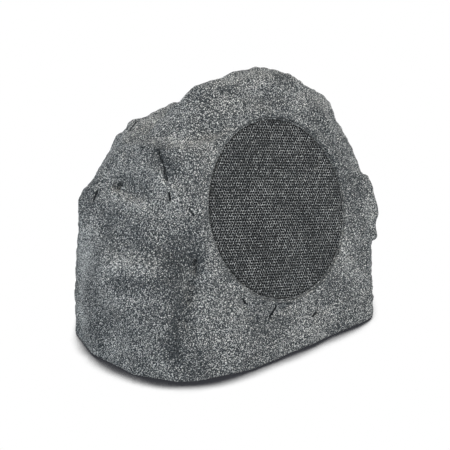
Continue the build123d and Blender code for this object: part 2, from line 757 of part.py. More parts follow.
PIECES = {
    "rock_shell": make_rock_shell(),
    "grille": make_grille(),
    "grille_cloth": make_grille_cloth(),
    "driver_gasket": make_driver_gasket(),
    "driver_screws": make_driver_screws(),
    "basket": make_basket(),
    "surround": make_surround(),
    "cone": make_cone(),
    "voice_coil": make_voice_coil(),
    "spider": make_spider(),
    "front_plate": make_front_plate(),
    "magnet": make_magnet(),
    "yoke": make_yoke(),
    "tweeter_post": make_tweeter_post(),
    "tweeter_body": make_tweeter_body(),
    "tweeter_dome": make_tweeter_dome(),
    "terminal_strip": make_terminal_strip(),
    "base_plate": make_base_plate(),
    "base_gasket": make_base_gasket(),
    "base_screws": make_base_screws(),
    "rubber_feet": make_rubber_feet(),
    "gland_body": make_gland_body(),
    "gland_seal": make_gland_seal(),
    "gland_cap": make_gland_cap(),
    "gland_nut": make_gland_nut(),
    "board_posts": make_board_posts(),
    "crossover_board": make_crossover_board(),
    "inductor": make_inductor(),
    "capacitor": on_board(CAPACITOR_PLACE, CAPACITOR_SIZE),
    "resistor": on_board(RESISTOR_PLACE, RESISTOR_SIZE),
    "terminal_block": make_terminal_block(),
    "woofer_lead": make_woofer_lead(),
    "tweeter_lead": make_tweeter_lead(),
    "wadding": make_wadding(),
}
for name, piece in PIECES.items():
    group = Compound(children=piece) if isinstance(piece, list) else piece
    export_step(group, f"parts/{name}.step")
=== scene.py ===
"""Looks of a garden loudspeaker in a moulded rock housing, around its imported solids."""
import json

import bpy
import numpy as np
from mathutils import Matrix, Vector


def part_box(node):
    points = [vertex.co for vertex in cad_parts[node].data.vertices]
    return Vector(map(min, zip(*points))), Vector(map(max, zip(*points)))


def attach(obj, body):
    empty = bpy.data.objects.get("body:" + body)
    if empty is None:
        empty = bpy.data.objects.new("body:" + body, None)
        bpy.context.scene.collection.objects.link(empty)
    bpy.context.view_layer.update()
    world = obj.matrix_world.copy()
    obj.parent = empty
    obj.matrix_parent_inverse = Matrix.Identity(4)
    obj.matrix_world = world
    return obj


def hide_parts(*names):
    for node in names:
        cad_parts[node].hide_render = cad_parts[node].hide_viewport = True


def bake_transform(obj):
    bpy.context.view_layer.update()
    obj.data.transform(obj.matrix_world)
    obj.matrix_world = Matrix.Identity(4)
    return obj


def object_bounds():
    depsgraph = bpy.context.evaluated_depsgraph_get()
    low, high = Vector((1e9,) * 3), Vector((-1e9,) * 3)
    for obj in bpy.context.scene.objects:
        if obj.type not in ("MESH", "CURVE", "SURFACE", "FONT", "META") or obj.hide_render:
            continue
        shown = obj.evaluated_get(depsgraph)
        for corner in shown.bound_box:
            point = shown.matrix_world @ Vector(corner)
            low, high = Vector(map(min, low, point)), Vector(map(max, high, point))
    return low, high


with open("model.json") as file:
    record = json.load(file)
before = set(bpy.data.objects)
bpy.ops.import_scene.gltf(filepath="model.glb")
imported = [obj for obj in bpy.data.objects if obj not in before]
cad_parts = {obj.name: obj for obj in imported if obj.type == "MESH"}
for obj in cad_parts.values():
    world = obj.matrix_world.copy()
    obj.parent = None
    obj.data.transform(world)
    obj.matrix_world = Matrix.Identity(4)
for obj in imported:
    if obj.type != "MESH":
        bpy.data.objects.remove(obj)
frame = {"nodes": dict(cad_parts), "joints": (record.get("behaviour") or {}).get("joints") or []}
cad_low, cad_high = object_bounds()
MM = 0.001


# Rock housing. One hollow casting of glass-fibre resin from a mould taken off a boulder, with a round
# recess for the grille in front, a pocket for the cable at the back and an open foot for the base plate.
GRILLE_SINK = 2.0
RECESS_FIT, RECESS_DEPTH = 0.8, 14.0
MOUTH_FIT, RIM_ROUND = 0.3, 2.2
BAFFLE, BAFFLE_RIM, CUTOUT_RADIUS = 10.0, 8.0, 72.5
SHELL_WALL, RIM_WALL, LEDGE = 7.0, 3.5, 13.0
POCKET_WIDTH, POCKET_TALL, POCKET_FLOOR = 48.0, 44.0, 108.0
ROCK_HEART = np.array([0.0, 15.0, 95.0])
ROCK_COLUMNS, ROCK_ROWS = 540, 164

grille_low, grille_high = (np.array(corner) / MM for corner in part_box("grille"))
grille_size = grille_high - grille_low
FACE_OUT = np.array(frame["joints"][0]["axis"])
FACE_RIGHT = np.array([1.0, 0.0, 0.0])
FACE_UP = np.cross(FACE_OUT, FACE_RIGHT)
GRILLE_RADIUS = grille_size[0] / 2
GRILLE_DEPTH = (grille_size[2] + grille_size[0] * FACE_OUT[1]) / FACE_OUT[2]
FACE_MIDDLE = (grille_low + grille_high) / 2 + FACE_OUT * (GRILLE_DEPTH / 2 + GRILLE_SINK)
RECESS_RADIUS = GRILLE_RADIUS + RECESS_FIT
MOUTH_RADIUS = GRILLE_RADIUS + MOUTH_FIT
gland_low, gland_high = (np.array(corner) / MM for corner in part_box("gland_body"))
POCKET_MIDDLE = (gland_low + gland_high) / 2


def unit(vectors):
    """Vectors divided by their lengths."""
    return vectors / np.linalg.norm(vectors, axis=-1, keepdims=True)


def ease(amount):
    """Smooth step from 0 to 1: 3 t squared less 2 t cubed."""
    amount = np.clip(amount, 0, 1)
    return amount * amount * (3 - 2 * amount)


def on_face(turn, radius, height):
    """Points round the grille's axis: middle + radius (cos right + sin up) + height out."""
    turn, radius, height = np.broadcast_arrays(turn, radius, height)
    around = np.cos(turn)[..., None] * FACE_RIGHT + np.sin(turn)[..., None] * FACE_UP
    return FACE_MIDDLE + radius[..., None] * around + height[..., None] * FACE_OUT


def corners_of(node):
    """Corners of a node's triangles in mm, as an array of (triangle, corner, xyz)."""
    mesh = frame["nodes"][node].data
    mesh.calc_loop_triangles()
    points = np.empty(len(mesh.vertices) * 3)
    mesh.vertices.foreach_get("co", points)
    corners = np.empty(len(mesh.loop_triangles) * 3, np.int32)
    mesh.loop_triangles.foreach_get("vertices", corners)
    return points.reshape(-1, 3)[corners.reshape(-1, 3)] / MM


RAYS_AT_ONCE, LEAST_SLOPE, EDGE_SLACK = 6000, 1e-9, 1e-6


def last_hit(start, directions, triangles):
    """Distance to the last triangle on each ray. A ray is inside a triangle where it lies on the inner
    side of the three planes through the start and an edge. The distance is the height of the triangle's
    plane over the start, divided by the ray's slope to it."""
    a, b, c = (triangles[:, corner] - start for corner in range(3))
    upright = np.cross(b - a, c - a)
    height = np.einsum("ij,ij->i", a, upright)
    sides = [np.cross(a, b).T, np.cross(b, c).T, np.cross(c, a).T]
    reach = []
    for some in np.array_split(directions, max(1, len(directions) // RAYS_AT_ONCE)):
        slope = some @ upright.T
        inside = slope > LEAST_SLOPE
        for side in sides:
            inside &= some @ side >= -EDGE_SLACK
        reach.append(np.where(inside, height / np.where(inside, slope, 1.0), 0.0).max(axis=1))
    return np.concatenate(reach)


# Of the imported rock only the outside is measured: the triangles that face away from its heart, well off
# it, that don't face down and that lie outside the recess.
LEAST_AREA, HEART_CLEAR, FACES_DOWN, RECESS_CLEAR = 1e-6, 40.0, -0.5, 0.5
rock = corners_of("rock_shell")
outward = np.cross(rock[:, 1] - rock[:, 0], rock[:, 2] - rock[:, 0])
real = np.linalg.norm(outward, axis=-1) > LEAST_AREA
rock, outward = rock[real], unit(outward[real])
offset = np.einsum("ij,ij->i", rock[:, 0] - ROCK_HEART, outward)
ahead = (rock - FACE_MIDDLE) @ FACE_OUT
beside = np.linalg.norm(rock - FACE_MIDDLE - ahead[..., None] * FACE_OUT, axis=-1)
in_recess = ((beside < RECESS_RADIUS + RECESS_CLEAR) & (ahead > -4 * RECESS_DEPTH)).all(axis=1)
outside = (offset > HEART_CLEAR) & (outward[:, 2] > FACES_DOWN) & ~in_recess
rock, outward = rock[outside], outward[outside]

# The back facet is the first that a line to the rear, through the pocket's middle, meets behind its floor.
FACES_REAR, REAR_CLEAR = 0.5, 10.0
rear = np.flatnonzero(outward[:, 1] > FACES_REAR)
line_start = POCKET_MIDDLE * (1, 0, 1)
apart = np.einsum("ij,ij->i", rock[rear, 0], outward[rear]) - outward[rear] @ line_start
behind = apart / outward[rear, 1]
back = rear[np.where(behind > POCKET_FLOOR + REAR_CLEAR, behind, np.inf).argmin()]
BACK_OUT, BACK_OFFSET = outward[back], rock[back, 0] @ outward[back]


def on_back(x, z, inset):
    """Points on the back facet's plane, brought in by an inset."""
    y = (BACK_OFFSET - inset - BACK_OUT[0] * x - BACK_OUT[2] * z) / BACK_OUT[1]
    return np.stack([x, y, z], axis=-1)


# The recess and the pocket are closed over for the first measure of the rock's outside.
MOUTH_SIDES, LID_LAP = 48, 1.0
fan = np.linspace(0, 2 * np.pi, MOUTH_SIDES + 1)
mouth = on_face(fan, RECESS_RADIUS + LID_LAP, 0.0)
middle = np.broadcast_to(FACE_MIDDLE, mouth[1:].shape)
half = np.array([POCKET_WIDTH, POCKET_TALL]) / 2 + LID_LAP
corner_x = POCKET_MIDDLE[0] + half[0] * np.array([1, 1, -1, -1])
corner_z = POCKET_MIDDLE[2] + half[1] * np.array([-1, 1, 1, -1])
lid = on_back(corner_x, corner_z, 0.0)
rock = np.concatenate([rock, np.stack([middle, mouth[:-1], mouth[1:]], axis=1),
                       lid[None, [0, 2, 1]], lid[None, [0, 3, 2]]])


def across(start, end, share):
    """Directions between two, turned evenly from the one to the other."""
    angle = np.arccos(np.clip((start * end).sum(-1, keepdims=True), -1, 1))
    return (np.sin((1 - share) * angle) * start + np.sin(share * angle) * end) / np.sin(angle)


FOOT_LEVEL = 1.0


def rim_and_foot(turn):
    """Directions from the rock's heart to the recess's rim and to the foot, at turns round the grille."""
    rim = unit(on_face(turn, MOUTH_RADIUS + RIM_ROUND, 0.0) - ROCK_HEART)
    level = np.stack([np.cos(turn), np.sin(turn), np.zeros_like(turn)], axis=-1)
    ground = ROCK_HEART * (1, 1, 0) + (0, 0, FOOT_LEVEL)
    foot = ground + last_hit(ground, level, rock)[:, None] * level
    return rim, unit(foot - ROCK_HEART)


# Columns run from the rim to the foot, spread so that their mean spacing is even.
FINE_TURNS, SPACED_AT = 1440, (0, 0.3, 0.6, 1)
fine = np.linspace(0, 2 * np.pi, FINE_TURNS + 1)
rim, foot = rim_and_foot(fine)
steps = sum(np.linalg.norm(np.diff(across(rim, foot, share), axis=0), axis=-1) for share in SPACED_AT)
length = np.concatenate([[0], np.cumsum(steps)])
turns = np.interp(np.arange(ROCK_COLUMNS) / ROCK_COLUMNS * length[-1], length, fine)
rim, foot = rim_and_foot(turns)
shares = np.linspace(0, 1, ROCK_ROWS)[:, None, None]
aims = across(rim[None], foot[None], shares).reshape(-1, 3)


def worn(points, passes):
    """Grid closed round its columns with its sharp edges worn down: each point moves to the mean of itself
    and its four neighbours, a number of times, and the first and last rows stay."""
    for _ in range(passes):
        mean = (np.roll(points, 1, 1) + np.roll(points, -1, 1))[1:-1] + points[:-2] + points[2:]
        points = np.concatenate([points[:1], (points[1:-1] + mean) / 5, points[-1:]])
    return points


def from_path(points, *corners):
    """Distance of points from a path of straight lines between corners: the least of those from a line."""
    least = np.full(points.shape[:-1], np.inf)
    for start, end in zip(np.array(corners[:-1], float), np.array(corners[1:], float)):
        line = end - start
        along = np.clip((points - start) @ line / (line @ line), 0, 1)
        least = np.minimum(least, np.linalg.norm(points - start - along[..., None] * line, axis=-1))
    return least


# The left side, with a channel beside the grille, is worn rounder than the other edges.
CHANNEL = [
    (-118, -82, 132), (-112, -94, 115), (-121, -94, 93),
    (-131, -98, 71), (-142, -101, 48), (-150, -101, 30),
]
WORN_SIDE = [(-165, 40, 50), (-150, 20, 110), (-155, -60, 110), (-160, -60, 50), *CHANNEL[::-1]]
EDGE_WEAR, SIDE_WEAR, SIDE_FULL, SIDE_FADE = 3, 60, 18.0, 45.0
reach = last_hit(ROCK_HEART, aims, rock)[:, None]
base = (ROCK_HEART + reach * aims).reshape(ROCK_ROWS, ROCK_COLUMNS, 3)
base[0] = on_face(turns, MOUTH_RADIUS + RIM_ROUND, 0.0)
base[-1, :, 2] = 0
base = worn(base, EDGE_WEAR)
worn_share = ease(1 + (SIDE_FULL - from_path(base, *WORN_SIDE)) / SIDE_FADE)[..., None]
base += worn_share * (worn(base, SIDE_WEAR) - base)


def normals_of(points):
    """Unit normals of a grid closed round its columns: step down a column crossed with step along a row."""
    down, along = np.gradient(points, axis=0), np.roll(points, -1, 1) - np.roll(points, 1, 1)
    return unit(np.cross(down, along))


def rumple(points, wavelength, seed, waves=24, spread=(0.7, 1.4)):
    """Random field of unit spread: a sum of cosine waves of about one wavelength, in random directions."""
    draw = np.random.default_rng(seed)
    directions = unit(draw.normal(size=(waves, 3))) * draw.uniform(*spread, (waves, 1))
    phases = draw.uniform(0, 2 * np.pi, waves)
    return np.cos(points @ (2 * np.pi / wavelength * directions.T) + phases).sum(-1) * np.sqrt(2 / waves)


# Lumps all over the rock: wavelength and height.
LUMPS = [(95, 1.0), (48, 0.8), (24, 0.55), (12, 0.35), (6.5, 0.2)]
LUMP_SEED = 40
CRACK_DEPTH, CRACK_WIDE, CRACK_REACH = 2.0, 2.0, 8.0
# Cracks, placed after the photograph: strength, which sets how wide and dark they show, and path. Their dark
# is painted shade.
CRACKS = [
    # Left of the grille
    (0.98, (-96, -17, 212), (-100, -27, 206), (-105, -40, 199)),
    (0.955, (-105, -40, 199), (-108, -48, 188)),
    (0.98, (-114, -57, 180), (-116, -61, 174)),
    (0.92, (-104, -77, 166), (-102, -81, 159)),
    # On the left side
    (0.98, (-54, 60, 208), (-74, 49, 207), (-77, 62, 194)),
    (0.94, (-127, 38, 159), (-133, 36, 150)),
    (0.94, (-121, 15, 171), (-123, 11, 165)),
    # Below the grille
    (0.9, (-112, -102, 94), (-111, -105, 89)),
    (0.95, (-69, -117, 70), (-66, -119, 65)),
    (0.98, (-27, -123, 50), (-36, -125, 42)),
    (0.98, (27, -129, 29), (18, -133, 28)),
]
# Dips and swellings, placed likewise: width, depth (below zero where the stone swells), shading and dirt
# (painted shade and dirt above zero, painted light below zero where the paint lies paler) and path.
DIPS = [
    # Along the long crack left of the grille
    (10.0, 3.0, 0.25, (-90, -22, 208), (-100, -48, 194)),
    # The channel and its banks
    (18.0, 2.0, 0.07, *CHANNEL),
    (9.0, 0.0, 0.08, (-131, -83, 112), (-135, -90, 89), (-136, -96, 71)),
    (11.0, 0.0, 0.12, (-128, -80, 118), (-108, -88, 120)),
    (6.0, 1.0, 0.1, (-138, -98, 60), (-150, -101, 30)),
    (12.0, 0.0, -0.12, (-113, -100, 98), (-114, -107, 78)),
    # The left side
    (13.0, 2.0, 0.05, (-136, 0, 130), (-150, -62, 126)),
    (11.0, -2.0, -0.11, (-162, -20, 104), (-152, -66, 112)),
    (9.0, 0.0, 0.15, (-168, -41, 92), (-150, -78, 97)),
    (10.0, 2.0, 0.05, (-118, 20, 176), (-120, -30, 176)),
    (9.0, -2.0, -0.12, (-130, 16, 156), (-127, -32, 161)),
    (9.0, -1.5, -0.08, (-82, -9, 214), (-72, -27, 221)),
    (14.0, 0.0, -0.1, (-106, -6, 194), (-108, -60, 184), (-108, -75, 167)),
    (14.0, 0.0, -0.12, (-150, 34, 123), (-155, 33, 80), (-160, 30, 31)),
    # The front at the right
    (18.0, 2.0, 0.0, (116, -114, 82), (101, -130, 34)),
    (14.0, -1.0, -0.1, (81, -119, 67), (92, -123, 55)),
    (14.0, 0.0, 0.07, (128, -71, 170), (124, -101, 117), (120, -109, 93)),
    # The shoulder and the top
    (12.0, -3.0, 0.0, (-50, 66, 208), (-58, 54, 208)),
    (18.0, -3.0, 0.0, (40, -40, 262), (62, -45, 252)),
    (11.0, 0.0, -0.1, (-6, -46, 268), (14, -50, 258)),
    (6.0, 2.0, 0.12, (-22, -40, 265), (-16, -44, 261)),
    (8.0, 1.5, 0.1, (18, -58, 250), (28, -64, 240)),
    (7.0, 1.5, 0.15, (46, -46, 262), (58, -48, 257)),
]

facing = normals_of(base)
swell = np.zeros(base.shape[:2])
for order, (wavelength, height) in enumerate(LUMPS):
    swell += height * rumple(base, wavelength, seed=LUMP_SEED + order)
# Painted shade in the dips and painted light on the swellings, besides dirt, kept for the paint.
shading_and_dirt = np.zeros(base.shape[:2])
for width, depth, dark, *path in DIPS:
    dip = np.exp(-((from_path(base, *path) / width) ** 2))
    swell -= depth * dip
    shading_and_dirt += dark * dip
# Nearness to the cracks cuts their grooves and, kept for the paint, darkens them with painted shade.
nearness = np.zeros(base.shape[:2])
for strength, *path in CRACKS:
    nearness = np.maximum(nearness, strength * np.clip(1 - from_path(base, *path) / CRACK_REACH, 0, 1))
swell -= CRACK_DEPTH * np.exp(-(((1 - nearness) * CRACK_REACH / CRACK_WIDE) ** 2))

# The relief calms down towards the recess's rim and the foot, and the foot's edge is tucked in along a
# quarter of an ellipse. The way inwards is level, with a small upright share that gives it a length where
# the skin faces straight up.
RIM_CALM, FOOT_CALM, FOOT_SWELL = 16.0, 14.0, 0.3
FOOT_ROUND, FOOT_TUCK, UPRIGHT = 6.0, 2.5, 0.001
from_rim = np.linalg.norm(base - base[:1], axis=-1)
swell *= ease(from_rim / RIM_CALM) * (FOOT_SWELL + (1 - FOOT_SWELL) * ease(base[..., 2] / FOOT_CALM))
inward = -unit(facing * (1, 1, UPRIGHT))
tuck = FOOT_TUCK * (1 - np.sqrt(1 - (1 - np.clip(base[..., 2] / FOOT_ROUND, 0, 1)) ** 2))
skin = base + facing * swell[..., None] + inward * tuck[..., None]
skin[..., 2] = np.maximum(skin[..., 2], 0)
skin[-1, :, 2] = 0

# The recess's wall and floor lead into the skin; the foot's rim, the inside and the baffle close it.
RIM_BENDS = (10, 35, 60)
INNER_LOWEST, INNER_HIGHEST, INNER_ROWS, INNER_GAP = ROCK_ROWS - 14, 26, 9, 1.0
bend = np.radians(RIM_BENDS)[:, None]
recess = np.concatenate([
    on_face(turns, CUTOUT_RADIUS, -RECESS_DEPTH)[None],
    on_face(turns, MOUTH_RADIUS, -RECESS_DEPTH)[None],
    on_face(turns, MOUTH_RADIUS, -RIM_ROUND)[None],
    on_face(turns[None], MOUTH_RADIUS + RIM_ROUND * (1 - np.cos(bend)), RIM_ROUND * (np.sin(bend) - 1)),
])
sole = base[-1] + RIM_WALL * inward[-1]
ledge = base[-1] + SHELL_WALL * inward[-1]
inner_rows = np.linspace(INNER_LOWEST, INNER_HIGHEST, INNER_ROWS).astype(int)
inside = base[inner_rows] - facing[inner_rows] * (SHELL_WALL + INNER_GAP)
baffle = np.stack([on_face(turns, RECESS_RADIUS + BAFFLE_RIM, -RECESS_DEPTH - BAFFLE),
                   on_face(turns, CUTOUT_RADIUS, -RECESS_DEPTH - BAFFLE)])
casting = np.concatenate([recess, skin, sole[None], (sole + (0, 0, LEDGE))[None],
                          (ledge + (0, 0, LEDGE))[None], inside, baffle])


def new_piece(name, points, faces, smooth=False):
    """Object in the scene from points in mm and the faces between them."""
    mesh = bpy.data.meshes.new(name)
    mesh.from_pydata(points.reshape(-1, 3) * MM, [], faces, shade_flat=not smooth)
    piece = bpy.data.objects.new(name, mesh)
    bpy.context.scene.collection.objects.link(piece)
    return piece


def grid_mesh(name, points, close_rows):
    """Smooth piece from a grid of points closed round its columns: each cell is a quad that faces out."""
    rows, columns = points.shape[:2]
    index = np.arange(rows * columns).reshape(rows, columns)
    index = np.concatenate([index, index[:, :1]], axis=1)
    if close_rows:
        index = np.concatenate([index, index[:1]])
    quads = np.stack([index[:-1, :-1], index[1:, :-1], index[1:, 1:], index[:-1, 1:]], axis=-1)
    return new_piece(name, points, quads.reshape(-1, 4), smooth=True)


rock_skin = grid_mesh("rock_skin", casting, close_rows=True)


def keep(piece, name, amounts):
    """Keeps an amount at each point of a piece for its material."""
    attribute = piece.data.attributes.new(name, "FLOAT", "POINT")
    attribute.data.foreach_set("value", amounts.astype(np.float32).ravel())


# The skin keeps its painted shading and dirt and its cracks' painted shade on the outer rows only.
outer_only = ((len(recess), len(casting) - len(recess) - ROCK_ROWS), (0, 0))
keep(rock_skin, "shading_and_dirt", np.pad(shading_and_dirt, outer_only))
keep(rock_skin, "crack", np.pad(nearness, outer_only))


def prism(name, outline_x, outline_z, near, far):
    """Closed bar of a plan outline between two surfaces y = near(x, z) and y = far(x, z)."""
    count = len(outline_x)
    points = np.concatenate([near(outline_x, outline_z), far(outline_x, outline_z)])
    index = np.arange(count)
    ahead = np.roll(index, -1)
    walls = np.stack([index, ahead, ahead + count, index + count], axis=-1).tolist()
    return new_piece(name, points, walls + [index[::-1].tolist(), (index + count).tolist()])


def level_at(y):
    """Surface of constant depth, for a prism's end."""
    return lambda x, z: np.stack([x, np.full_like(x, y), z], axis=-1)


def carve(target, tool, operation):
    """Joins a tool's solid to a piece or cuts it away, and removes the tool."""
    modifier = target.modifiers.new(operation, "BOOLEAN")
    modifier.operation, modifier.solver, modifier.object = operation, "MANIFOLD", tool
    done = bpy.data.meshes.new_from_object(target.evaluated_get(bpy.context.evaluated_depsgraph_get()))
    target.modifiers.clear()
    target.data = done
    bpy.data.objects.remove(tool)


def squared(amount, power):
    """Cosine or sine bent towards a square's sides: its size raised to a power below 1, with its sign."""
    return np.sign(amount) * np.abs(amount) ** power


# The cable pocket: a case with rounded corners joined to the rock's back, and a hole of like form in it.
BOX_SIDES, BOX_POWER, PAST_BACK = 48, 0.25, 20.0
box_turn = np.linspace(0, 2 * np.pi, BOX_SIDES, endpoint=False)
box_x = squared(np.cos(box_turn), BOX_POWER)
box_z = -squared(np.sin(box_turn), BOX_POWER)
case_x = POCKET_MIDDLE[0] + (POCKET_WIDTH / 2 + SHELL_WALL) * box_x
case_z = POCKET_MIDDLE[2] + (POCKET_TALL / 2 + SHELL_WALL) * box_z
hole_x = POCKET_MIDDLE[0] + POCKET_WIDTH / 2 * box_x
hole_z = POCKET_MIDDLE[2] + POCKET_TALL / 2 * box_z
carve(rock_skin, prism("case", case_x, case_z, level_at(POCKET_FLOOR - SHELL_WALL),
                       lambda x, z: on_back(x, z, SHELL_WALL / 2)), "UNION")
carve(rock_skin, prism("pocket", hole_x, hole_z, level_at(POCKET_FLOOR),
                       level_at(cad_high[1] / MM + PAST_BACK)), "DIFFERENCE")
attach(rock_skin, "housing")
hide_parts("rock_shell")


def colour(code):
    """Linear colour of an sRGB hex code."""
    parts = np.array([int(code[k:k + 2], 16) for k in (1, 3, 5)]) / 255
    parts = np.where(parts <= 0.04045, parts / 12.92, ((parts + 0.055) / 1.055) ** 2.4)
    return (*parts, 1.0)


def node(tree, kind, settings=None, stops=(), **links):
    """Adds a shader node with its settings, a ramp's (position, hex colour) stops, and its inputs by name
    or by _number, from values or from other nodes' sockets."""
    made = tree.nodes.new(kind)
    for name, value in (settings or {}).items():
        setattr(made, name, value)
    for spot, (position, code) in enumerate(stops):
        stop = made.color_ramp.elements[spot] if spot < 2 else made.color_ramp.elements.new(position)
        stop.position, stop.color = position, colour(code)
    for name, value in links.items():
        socket = made.inputs[int(name[1:])] if name[0] == "_" else made.inputs[name.replace("_", " ")]
        if isinstance(value, bpy.types.NodeSocket):
            tree.links.new(value, socket)
        else:
            socket.default_value = value
    return made


def per_metre(size):
    """Noise scale for a pattern that repeats about every so many mm."""
    return 1 / (size * MM)


def new_material(name, **values):
    """Material with a principled surface and its uniform values. Returns the material, its tree, the
    surface and the place in object coordinates."""
    material = bpy.data.materials.new(name)
    material.use_nodes = True
    tree = material.node_tree
    surface = tree.nodes["Principled BSDF"]
    for socket, value in values.items():
        surface.inputs[socket.replace("_", " ")].default_value = value
    return material, tree, surface, node(tree, "ShaderNodeTexCoord").outputs["Object"]


def dress(tree, surface, tone, relief, relief_mm, strength=1.0, sunk=False):
    """Gives a surface its colour and its fine relief, raised or sunk, from two sockets."""
    bump = node(tree, "ShaderNodeBump", {"invert": sunk}, Strength=strength, Distance=relief_mm * MM,
                Height=relief)
    tree.links.new(tone, surface.inputs["Base Color"])
    tree.links.new(bump.outputs["Normal"], surface.inputs["Normal"])


def wear(piece, material):
    """Gives a piece one material."""
    piece.data.materials.clear()
    piece.data.materials.append(material)


# Stone-flecked resin: a dark blue-grey ground spattered with pale worm-shaped flecks a millimetre or two
# long and a few black ones, dry and rough from the mould's grit. Its faces are cloudy, its hollows and
# cracks darkened with painted shade, its swells paled with painted light.
FLECK_MM, GRIT_MM, CLOUD_MM = 1.15, 1.2, 38.0
DARK_TO, GROUND_FROM, GROUND_TO, PALE_FROM = 0.35, 0.4, 0.555, 0.585
CLOUD_LEAN, SHADING_AND_DIRT_LEAN, CRACK_EDGE, CRACK_CORE = 0.12, 0.3, 0.76, 0.92


def stone_flecked(name, dark, ground, pale, relief_mm, strength, **values):
    """Paint of flecks: a fine twisted noise cut into dark, ground and pale patches. It leans with a broad
    noise to pale or dark, with the piece's painted shading and dirt to dark or pale, and with painted shade
    at its cracks to dark. Grit gives it a low relief."""
    material, tree, surface, place = new_material(name, **values)
    # Painted shade and light: the piece's shading and dirt move the flecks to dark or pale, its cracks to
    # dark.
    shading_and_dirt_read = node(tree, "ShaderNodeAttribute", {"attribute_name": "shading_and_dirt"})
    crack = node(tree, "ShaderNodeAttribute", {"attribute_name": "crack"})
    line = node(tree, "ShaderNodeMapRange", {"interpolation_type": "SMOOTHSTEP"},
                Value=crack.outputs["Fac"], From_Min=CRACK_EDGE, From_Max=CRACK_CORE)
    shading_and_dirt_sum = node(tree, "ShaderNodeMath", {"operation": "ADD"}, _0=shading_and_dirt_read.outputs["Fac"], _1=line.outputs[0])
    cloud = node(tree, "ShaderNodeTexNoise", Vector=place, Scale=per_metre(CLOUD_MM), Detail=3.0)
    fleck = node(tree, "ShaderNodeTexNoise", Vector=place, Scale=per_metre(FLECK_MM), Detail=3.0,
                 Roughness=0.6, Distortion=0.5)
    lean = node(tree, "ShaderNodeMath", {"operation": "MULTIPLY_ADD"}, _0=cloud.outputs["Fac"],
                _1=CLOUD_LEAN, _2=-CLOUD_LEAN / 2)
    clean = node(tree, "ShaderNodeMath", {"operation": "ADD"}, _0=fleck.outputs["Fac"], _1=lean.outputs[0])
    amount = node(tree, "ShaderNodeMath", {"operation": "MULTIPLY_ADD"}, _0=shading_and_dirt_sum.outputs[0],
                  _1=-SHADING_AND_DIRT_LEAN, _2=clean.outputs[0])
    tone = node(tree, "ShaderNodeValToRGB", Fac=amount.outputs[0],
                stops=[(DARK_TO, dark), (GROUND_FROM, ground), (GROUND_TO, ground), (PALE_FROM, pale)])
    grit = node(tree, "ShaderNodeTexNoise", Vector=place, Scale=per_metre(GRIT_MM), Detail=2.0)
    dress(tree, surface, tone.outputs["Color"], grit.outputs["Fac"], relief_mm, strength)
    return material


rock_paint = stone_flecked("stone_flecked_resin", "#17191b", "#464a4c", "#f4f4ee", relief_mm=0.5,
                           strength=0.6, Roughness=0.85, Specular_IOR_Level=0.3)
wear(rock_skin, rock_paint)


# Driver gasket: a die-cut ring of closed-cell foam between the rock's baffle and the driver's frame,
# pressed on by the driver's screws.
def two_tone(name, light, dark, grain_mm, bump_mm, **values):
    """Material mottled between two colours by a noise of one grain, with that grain as a low relief."""
    material, tree, surface, place = new_material(name, **values)
    grain = node(tree, "ShaderNodeTexNoise", Vector=place, Scale=per_metre(grain_mm), Detail=4.0,
                 Roughness=0.6)
    tone = node(tree, "ShaderNodeValToRGB", Fac=grain.outputs["Fac"], stops=[(0.35, dark), (0.65, light)])
    dress(tree, surface, tone.outputs["Color"], grain.outputs["Fac"], bump_mm)
    return material


# Closed-cell foam: dull charcoal with fine pores.
foam = two_tone("closed_cell_foam", "#3a3a3d", "#242427", grain_mm=1.0, bump_mm=0.3, Roughness=0.95)
wear(frame["nodes"]["driver_gasket"], foam)


# Driver frame: a basket pressed from sheet steel and powder coated, screwed to the baffle through its
# flange by hexagon-head screws of zinc-plated steel.
# Powder coat: satin black with a faint orange peel. Zinc plate: bluish silver, clouded by its passivation.
powder_coat = two_tone("black_powder_coat", "#2b2b2d", "#1d1d1f", grain_mm=2.0, bump_mm=0.08,
                       Roughness=0.5)
zinc_steel = two_tone("zinc_plated_steel", "#b9bcc0", "#9a9ea3", grain_mm=4.0, bump_mm=0.02,
                      Roughness=0.35, Metallic=1.0)
wear(frame["nodes"]["basket"], powder_coat)
wear(frame["nodes"]["driver_screws"], zinc_steel)


# Surround: a half roll moulded of butyl rubber, glued to the cone's edge inside and to the flange outside,
# so that the cone can travel.
SURROUND_INNER, SURROUND_OUTER, SURROUND_LIP = 62.3, 70.0, 75.5
SURROUND_DROP, SURROUND_SEAT, ROLL_RISE, RUBBER_WALL = -2.5, 4.0, 5.5, 0.9
DRIVER_COLUMNS, ROLL_POINTS, FLAT_POINTS, FLAT_GAP = 96, 21, 4, 1.0


def turned(name, profile, columns):
    """Closed piece turned about the grille's axis from a closed profile of (radius, height over the
    recess's floor)."""
    profile = np.asarray(profile, float)
    turn = np.linspace(0, 2 * np.pi, columns, endpoint=False)
    points = on_face(turn[None], profile[:, :1], profile[:, 1:] - RECESS_DEPTH)
    return grid_mesh(name, points, close_rows=True)


def strip(line, wall):
    """Closed profile of even thickness about an open line: half a wall to each side of it."""
    along = unit(np.gradient(line, axis=0))
    side = np.stack([-along[:, 1], along[:, 0]], axis=-1) * wall / 2
    return np.concatenate([line + side, (line - side)[::-1]])


def flat_edge(inner, outer, height):
    """Line of a glued edge: points at one height, from just outside an inner radius to an outer one."""
    radius = np.linspace(inner + FLAT_GAP, outer, FLAT_POINTS)
    return np.stack([radius, np.full(FLAT_POINTS, height)], axis=-1)


